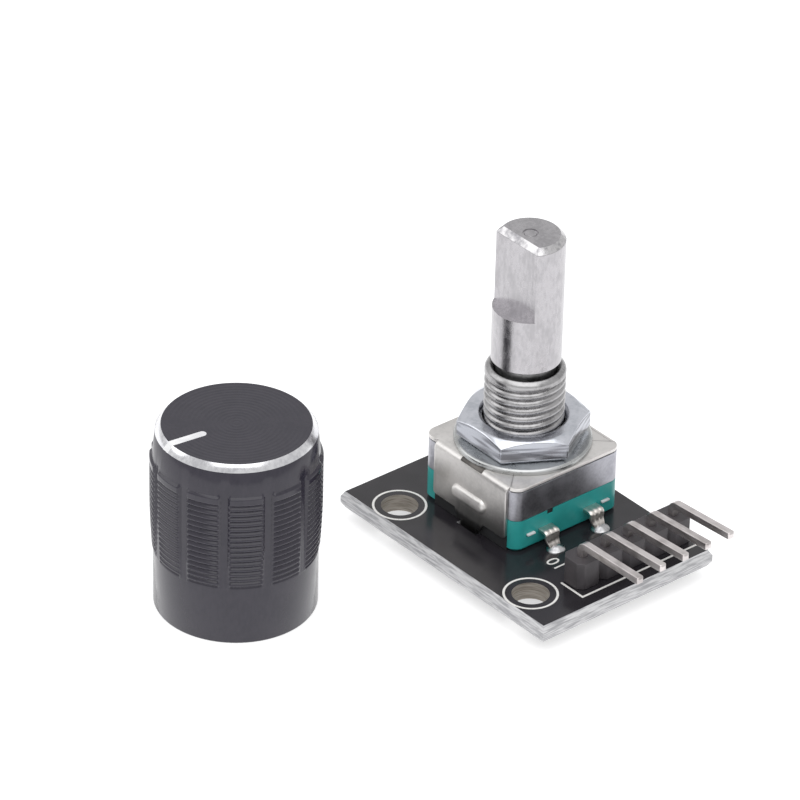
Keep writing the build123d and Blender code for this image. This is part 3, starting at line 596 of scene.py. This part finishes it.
def cover_top_sheet(shape, fold, half_wing, hole=3.6):
    """The cover's flat top with its round hole, drawn in where the wings' folds take over."""

    def tuck(x, y):
        beside = abs(y + stem.y - WING_Y) < half_wing * MM and abs(x) > body_half_width - 0.06 * MM
        return (fold - SHEET) * MM if beside else 0.0

    edge = ((0.0, SHEET), (0.0, 0.05), (0.015, 0.015), (0.05, 0.0))
    rings = [body_outline(inset * MM, cover_top - drop * MM, 40, tuck) for inset, drop in edge]
    for drop in (0.0, SHEET):
        ring = []
        for x, y, _ in rings[0]:
            arm = Vector((x - stem.x, y - stem.y)).normalized() * hole * MM
            ring.append((stem.x + arm.x, stem.y + arm.y, cover_top - drop * MM))
        rings.append(ring)
    skin(shape, rings)


def folded_cover(fold=0.6, half_wing=4.65, half_slot=1.35, half_lug=1.0):
    """Sheet cover: a flat top and two wings folded down, with a slot at each fold and a lug at each foot."""
    shape = bmesh.new()
    cover_top_sheet(shape, fold, half_wing)
    top = cover_top / MM
    foot, shoulder, tail = board_top / MM + WING_FOOT, board_top / MM + 0.3, -1.0
    slotted = 58  # degrees of the fold that the slot takes away
    # Distance from the wing's middle, lower edge, inset of the faces, and the fold's first angle
    stations = [
        (half_wing, foot + 0.4, 0.03, 0),
        (half_wing - 0.05, foot + 0.2, 0.0, 0),
        (half_wing - 0.18, foot + 0.06, 0.0, 0),
        (half_wing - 0.4, foot, 0.0, 0),
        (half_lug + 0.83, foot, 0.0, 0),
        (half_lug + 0.43, shoulder, 0.0, 0),
        (half_slot + 0.01, shoulder, 0.0, 0),
        (half_slot, shoulder, 0.0, slotted),
        (half_lug, shoulder, 0.0, slotted),
        (half_lug - 0.001, tail, 0.0, slotted),
    ]
    stations = [(-y, *others) for y, *others in stations] + list(reversed(stations))
    for side in (-1, 1):
        rings = []
        for y, bottom, inset, start in stations:
            profile = []
            for degrees in range(0, 91, 9):
                turn = math.radians(max(start, degrees))
                across = SHEET - fold + fold * math.sin(turn)
                profile.append((across - inset, top - fold + fold * math.cos(turn)))
            profile += [(SHEET - inset, bottom + 0.05), (SHEET - 0.04, bottom), (0.04, bottom)]
            profile += [(inset, bottom + 0.05), (inset, top - fold), (SHEET - fold, top - SHEET)]
            rings.append([beside_body(side, across, y, z * MM) for across, z in profile])
        skin(shape, rings, cap_start=True, cap_end=True)
    return add_piece(
        "folded_cover", shape, "module", [COVER_NICKEL], ("encoder_cover",), sharp=50
    )


def gap_shade_sheets(half_slot=1.35, half_wing=4.64):
    """Painted shade: dark sheets put where there is only shade, in the slots of the folds, between the wings'
    edges and the board, and in the base's vent.
    """
    shape = bmesh.new()
    slot = ((-0.32, 0.012), (0.0, 0.012), (0.16, 0.16), (0.16, 0.5), (-0.32, 0.5))
    recess = ((-0.3, 0.03), (0.08, 0.03), (0.08, WING_FOOT + 0.3), (-0.3, WING_FOOT + 0.3))
    for side in (-1, 1):
        rings = [
            [beside_body(side, across, y * half_slot, cover_top - drop * MM) for across, drop in slot]
            for y in (-1, -0.33, 0.33, 1)
        ]
        skin(shape, rings, cap_start=True, cap_end=True)
        # Painted shadow: a near-black sheet between each wing's edge and the board.
        rings = [
            [beside_body(side, across, y * half_wing, board_top + rise * MM) for across, rise in recess]
            for y in (-1, 0, 1)
        ]
        skin(shape, rings, cap_start=True, cap_end=True, finish=1)
    # Painted shadow inside the base's vent.
    left, right = VENT_X - VENT_WIDTH / 2, VENT_X + VENT_WIDTH / 2
    corners = ((left, 0.06), (right, 0.06), (right, VENT_DEPTH), (left, VENT_DEPTH))
    rings = [
        [(stem.x + x * MM, stem.y - body_half_depth + y * MM, housing_low.z - drop * MM) for x, y in corners]
        for drop in (VENT_HEIGHT - 0.01, 0.02)
    ]
    skin(shape, rings, cap_start=True, cap_end=True, finish=1)
    return add_piece("gap_shade_sheets", shape, "module", [SLOT_SHADE, SHADOW], ())


def d_outline(radius, flat, z, steps=160):
    """Circle cut by the flat on the shaft's -X side."""
    points = []
    for step in range(steps):
        turn = math.tau * step / steps
        points.append(
            (stem.x + max(radius * math.cos(turn), -flat) * MM, stem.y + radius * MM * math.sin(turn), z * MM)
        )
    return points


def turned_shaft(ledge=21.05, edge=0.5):
    """Shaft: round length above the journal, ledge, and the D with its bevelled end and a turning pip."""
    shape = bmesh.new()
    top = shaft_top / MM
    radius, flat, uncut = 3.0, 1.5, 9.0
    outlines = [(2.6, uncut, 12.0), (2.6, uncut, 15.9), (2.72, uncut, 16.0), (2.9, uncut, 16.0)]
    outlines += [(radius, uncut, 16.1), (radius, uncut, ledge), (radius, flat, ledge)]
    for inset, drop in ((0.0, edge + 0.04), (0.015, edge), (edge - 0.03, 0.02), (edge + 0.03, 0.0)):
        outlines.append((radius - inset, flat - inset, top - drop))
    rings = [d_outline(*outline) for outline in outlines]
    rings += [circle(stem, pip_radius * MM, (top - drop) * MM, 160) for pip_radius, drop in PIP]
    # The journal, up to the bushing's rim, takes the painted shade.
    skin(shape, rings[:4], finish=1)
    skin(shape, rings[3:9])
    skin(shape, rings[8:10], finish=2)
    skin(shape, rings[9:], cap_end=True)
    bmesh.ops.remove_doubles(shape, verts=shape.verts, dist=1e-7)
    return add_piece(
        "turned_shaft", shape, "shaft", [SHAFT, JOURNAL_SHADE, CUT_EDGE], ("shaft",), sharp=20
    )


def pressed_ribs(length=4.3, height=1.4, proud=0.35, above_board=2.9, steps=40):
    """Embossed rib on each wing of the cover: a long dome with round ends."""
    middle_z = board_top + above_board * MM
    half_run = (length - height) / 2
    dome = ((1.0, -0.1), (0.97, 0.08), (0.86, 0.5), (0.72, 0.82), (0.55, 0.97), (0.3, 1.0))
    shape = bmesh.new()
    for side in (-1, 1):
        rings = []
        for share, rise in dome:
            half_height = height / 2 * share
            ring = []
            for step in range(steps):
                turn = math.tau * step / steps
                y = math.copysign(half_run, math.cos(turn)) + half_height * math.cos(turn)
                z = middle_z + half_height * MM * math.sin(turn)
                ring.append(beside_body(side, SHEET + proud * rise, y, z))
            rings.append(ring)
        skin(shape, rings, cap_end=True)
    return add_piece("pressed_ribs", shape, "module", [COVER_NICKEL], (), sharp=60)


def lead_leg(name, x, outward, row, node, stub_side=0, half_thick=0.15 * MM, across=24):
    """A pressed leg with three ridges: out of the base, over a round bend, kinked in and down to its hole."""
    shape = bmesh.new()
    face = body_half_depth
    route = [
        (face - 0.8 * MM, LEAD_Z),
        (face + 0.98 * MM, LEAD_Z),
        (face + 0.84 * MM, LEAD_Z - 0.68 * MM),
        (row, board_top + 0.12 * MM),
        (row, -1.2 * MM),
    ]
    path = eased_path([(reach, height, 0.0) for reach, height in route], 0.42 * MM, 7)
    rings = []
    for index, point in enumerate(path):
        ahead = path[min(index + 1, len(path) - 1)] - path[max(index - 1, 0)]
        normal = Vector((-ahead.y, ahead.x, 0.0)).normalized()
        fall = min(1.0, max(0.0, (LEAD_Z - 0.5 * MM - point.y) / (1.1 * MM)))
        half = (0.75 - 0.3 * fall) * MM
        ridge = 0.045 * MM * min(1.0, max(0.0, (point.x - face) / (0.15 * MM))) * (1 - 0.75 * fall)
        if point.y < board_top:
            ridge = 0.0
        ring = []
        for side in (1, -1):
            for step in range(across + 1):
                share = (step / across * 2 - 1) * side
                lift = half_thick - 0.05 * MM * abs(share) ** 8
                lift += ridge * abs(math.cos(share * 1.5 * math.pi)) if side == 1 else 0.0
                offset = normal * lift * side
                outward_y = stem.y + outward * (point.x + offset.x)
                ring.append((stem.x + x + share * half, outward_y, point.y + offset.y))
        rings.append(ring)
    skin(shape, rings, cap_start=True, cap_end=True)
    # The cut tab beside the leg, pale matt white: painted highlight.
    if stub_side:
        size = Vector((0.82, 0.7, 0.13)) * MM
        centre = Vector(
            (stem.x + x + stub_side * 1.65 * MM, stem.y + outward * (face - 0.12 * MM), LEAD_Z + 0.05 * MM)
        )
        stub = bmesh.ops.create_cube(shape, size=1.0)["verts"]
        for quad in {quad for vert in stub for quad in vert.link_faces}:
            quad.material_index = 1
        for vert in stub:
            vert.co = centre + vert.co * size
    return add_piece(name, shape, "module", [LEAD, STUB_HIGHLIGHT], (node,), sharp=50)


# Radius, and height over the board, of a joint's cone below and dome above, in millimetres
SOLDER_CONE = (
    (0.0, -1.0), (0.30, -0.98), (0.42, -0.95), (0.50, -0.82),
    (0.56, -0.5), (0.66, -0.22), (0.95, -0.02), (0.95, 0.0),
)
SOLDER_DOME = (
    (0.84, 0.0), (0.83, 0.05), (0.77, 0.11), (0.62, 0.19),
    (0.45, 0.29), (0.32, 0.37), (0.14, 0.41), (0.0, 0.415),
)
# Half width, half length and height of the joint under each lug of the cover, in millimetres
LUG_SOLDER = ((0.95, 1.5, 0.0), (0.9, 1.45, -0.1), (0.6, 1.2, -0.45), (0.45, 1.1, -0.8), (0.2, 0.95, -0.88))


def solder_joint(shape, centre, hole, dome):
    """Solder of one lead: a waisted cone below, the filled hole, and above a dome or a thin fillet."""
    top = board_top / MM
    above = SOLDER_DOME if dome else ((hole - 0.05, 0.03), (0.0, 0.05))
    profile = [*SOLDER_CONE, (hole, 0.0), (hole, top), *((radius, top + rise) for radius, rise in above)]
    lathe(shape, centre, profile, 40, closed=False)


def encoder_solder(hole=0.58, steps=32):
    shape = bmesh.new()
    for x in (-LEG_PITCH, 0.0, LEG_PITCH):
        solder_joint(shape, stem + Vector((x, REAR_ROW, 0)), hole, False)
    for x in (-LEG_PITCH, LEG_PITCH):
        solder_joint(shape, stem + Vector((x, -FRONT_ROW, 0)), hole, True)
    turns = [math.tau * step / steps for step in range(steps)]
    for side in (-1, 1):
        rings = [
            [
                beside_body(side, SHEET / 2 + half_x * math.cos(turn), half_y * math.sin(turn), z * MM)
                for turn in turns
            ]
            for half_x, half_y, z in LUG_SOLDER
        ]
        skin(shape, rings, cap_start=True, cap_end=True)
    return add_piece("encoder_joints", shape, "module", [SOLDER], ("encoder_solder",), sharp=60)


def header_solder(hole=0.48):
    shape = bmesh.new()
    row = middle("header_housing").y
    for number in range(1, 6):
        solder_joint(shape, Vector((middle(f"header_pin_{number}").x, row, 0)), hole, False)
    return add_piece("header_joints", shape, "module", [SOLDER], ("header_solder",), sharp=60)


# ---------------------------------------------------------------- knob


def knob_body(steps_per_pad=40, groove_pitch=0.5, groove_depth=0.17):
    """Anodised knob: smooth skirt, fluted grip with finely grooved pads, shoulder and bright ring."""
    foot = knob_low.z / MM
    height = (knob_high.z - knob_low.z) / MM
    pads = 12
    steps = pads * steps_per_pad
    skirt_top, grip_top, flute_floor = 5.46, 14.26, 6.93
    first_flute = math.radians(13.4)
    skirt = [(6.1, 0.0), (6.72, 0.0), (6.84, 0.05), (6.9, 0.17)]
    skirt += [(6.9, skirt_top - 0.25), (6.92, skirt_top - 0.1)]
    rows = [(radius, z, False) for radius, z in skirt]
    grip_rows = int((grip_top - skirt_top) / groove_pitch * 8)
    for row in range(grip_rows + 1):
        share = row / grip_rows
        bulge = 0.2 * math.sin(min(1.0, share * 1.7) * math.pi / 2)
        rows.append((7.0 + bulge, skirt_top + (grip_top - skirt_top) * share, True))
    ring_base = height - 0.56
    rows += [(7.17, grip_top + 0.05, True), (7.09, grip_top + 0.13, True), (6.99, grip_top + 0.2, True)]
    rows += [(flute_floor, grip_top + 0.45, False), (6.76, ring_base, False)]
    first_groove = grip_top - 0.45
    rings = []
    for outer, z, grip in rows:
        ring = []
        for step in range(steps):
            turn = math.tau * step / steps
            radius = outer
            if grip:
                position = ((turn - first_flute) / (math.tau / pads) + 0.5) % 1.0 - 0.5
                across = abs(position) * (math.tau / pads) * 7.2
                flute = min(1.0, max(0.0, (0.5 - across) / 0.2))
                inside = min(1.0, max(0.0, (across - 0.42) / 0.1)) if z < first_groove else 0.0
                wave = (0.5 - 0.5 * math.cos(math.tau * (first_groove - z) / groove_pitch)) ** 1.3
                radius = outer - groove_depth * wave * inside + (min(outer, flute_floor) - outer) * flute
            x, y = radius * MM * math.cos(turn), radius * MM * math.sin(turn)
            ring.append((knob.x + x, knob.y + y, (foot + z) * MM))
        rings.append(ring)

    def level_rings(*profile):
        return [circle(knob, radius * MM, (foot + z) * MM, steps) for radius, z in profile]

    shape = bmesh.new()
    skin(shape, rings)
    skin(shape, level_rings((6.76, ring_base), (6.26, height)), finish=1)
    skin(shape, level_rings(*((radius, height) for radius in (6.26, 6.2, 4.0, 2.0, 0.5))), cap_end=True)
    skin(shape, level_rings((6.1, 0.0), (6.1, height - 1.3)), cap_end=True)
    bmesh.ops.remove_doubles(shape, verts=shape.verts, dist=1e-7)
    return add_piece("knob_body", shape, "knob", [KNOB, CUT_RING], ("knob_shell",), sharp=40)


def knob_indicator(angle=math.radians(172), half=0.38, near=3.3):
    """Bright milled line from near the middle to the ring, and on over the ring's slope."""
    shape = bmesh.new()
    along = Vector((math.cos(angle), math.sin(angle), 0.0))
    across = Vector((-along.y, along.x, 0.0))
    # Distance from the middle, distance to the side, and depth below the top
    outline = [(6.76, -half, 0.56), (6.76, half, 0.56), (6.25, half, 0.0), (near, half, 0.0)]
    for step in range(1, 12):
        bend = math.pi * step / 12
        outline.append((near - half * math.sin(bend), half * math.cos(bend), 0.0))
    outline += [(near, -half, 0.0), (6.25, -half, 0.0)]
    rings = []
    for shrink, rise in ((1.0, -0.02), (0.93, 0.012)):
        ring = []
        for reach, side, drop in outline:
            point = Vector((knob.x, knob.y, knob_high.z)) + (along * reach + across * side * shrink) * MM
            ring.append((point.x, point.y, point.z + (rise - drop) * MM))
        rings.append(ring)
    skin(shape, rings, cap_start=True, cap_end=True)
    return add_piece("knob_indicator", shape, "knob", [MILLED], ())


board_print()
for number in range(1, 6):
    pin_number(number, middle(f"header_pin_{number}").x)
housing_block()
bushing_thread()
folded_cover()
gap_shade_sheets()
softened("plated_washer", "washer", [WASHER], 0.05)
softened("plated_nut", "hex_nut", [ZINC], 0.14, segments=3)
turned_shaft()
pressed_ribs()
softened("header_strip", "header_housing", [HEADER], 0.06)
for number in range(1, 6):
    softened(f"bent_pin_{number}", f"header_pin_{number}", [PIN], 0.04)
for number, side in ((1, -1), (2, 1)):
    lead_leg(
        f"switch_leg_{number}", side * LEG_PITCH, -1, FRONT_ROW, f"switch_terminal_{number}", stub_side=side
    )
for number in range(1, 4):
    lead_leg(f"encoder_leg_{number}", (number - 2) * LEG_PITCH, 1, REAR_ROW, f"encoder_terminal_{number}")
encoder_solder()
header_solder()
knob_body()
knob_indicator()


# ---------------------------------------------------------------- studio


def studio_floor(half=0.6):
    """Paper right under the knob's foot."""
    shape = bmesh.new()
    z = knob_low.z - 0.0002 * MM
    corners = ((-half, -half), (half, -half), (half, half), (-half, half))
    shape.faces.new([shape.verts.new((x, y, z)) for x, y in corners])
    mesh = bpy.data.meshes.new("studio_floor")
    shape.to_mesh(mesh)
    shape.free()
    mesh.materials.append(PAPER)
    floor = bpy.data.objects.new("studio_floor", mesh)
    bpy.context.scene.collection.objects.link(floor)


def panel(name, place, size, power):
    """A soft square light panel that faces the middle of the board."""
    light = bpy.data.lights.new(name, "AREA")
    light.shape = "RECTANGLE"
    light.size, light.size_y = size, size
    light.energy = power
    lamp = bpy.data.objects.new(name, light)
    lamp.location = place
    lamp.rotation_euler = (-Vector(place)).to_track_quat("-Z", "Y").to_euler()
    bpy.context.scene.collection.objects.link(lamp)


def studio_air(strength):
    """Even white light from all round."""
    world = bpy.data.worlds.new("studio_air")
    world.use_nodes = True
    background = world.node_tree.nodes["Background"]
    background.inputs["Color"].default_value = (1.0, 1.0, 1.0, 1.0)
    background.inputs["Strength"].default_value = strength
    bpy.context.scene.world = world


def photo_camera():
    """The photograph's view: a long lens from the front left, looking down."""
    azimuth, elevation, roll = math.radians(-40.527), math.radians(32.144), math.radians(1.398)
    back = Vector(
        (
            math.sin(azimuth) * math.cos(elevation),
            -math.cos(azimuth) * math.cos(elevation),
            math.sin(elevation),
        )
    )
    right = Vector((math.cos(azimuth), math.sin(azimuth), 0.0))
    up = back.cross(right)
    right_rolled = right * math.cos(roll) + up * math.sin(roll)
    up_rolled = up * math.cos(roll) - right * math.sin(roll)
    aim = Vector((8.55, 2.7, 0.0))
    place = (back * 490.958 + right * -10.458 + up * 9.664 + aim) * MM
    focal_pixels, photo_width, sensor = 5758.6, 800, 36.0
    data = bpy.data.cameras.new("photo_camera")
    data.sensor_width = sensor
    data.lens = focal_pixels / photo_width * sensor
    data.clip_start, data.clip_end = 0.05, 5.0
    camera = bpy.data.objects.new("photo_camera", data)
    turn = Matrix((right_rolled, up_rolled, back)).transposed().to_4x4()
    camera.matrix_world = Matrix.Translation(place) @ turn
    bpy.context.scene.collection.objects.link(camera)
    bpy.context.scene.camera = camera


studio_floor()
studio_air(0.75)
panel("top_panel", (-0.12, -0.15, 0.5), 0.62, 1.5)
panel("left_back_panel", (-0.34, 0.4, 0.36), 0.4, 0.55)
photo_camera()
bpy.context.scene.view_settings.view_transform = "Standard"
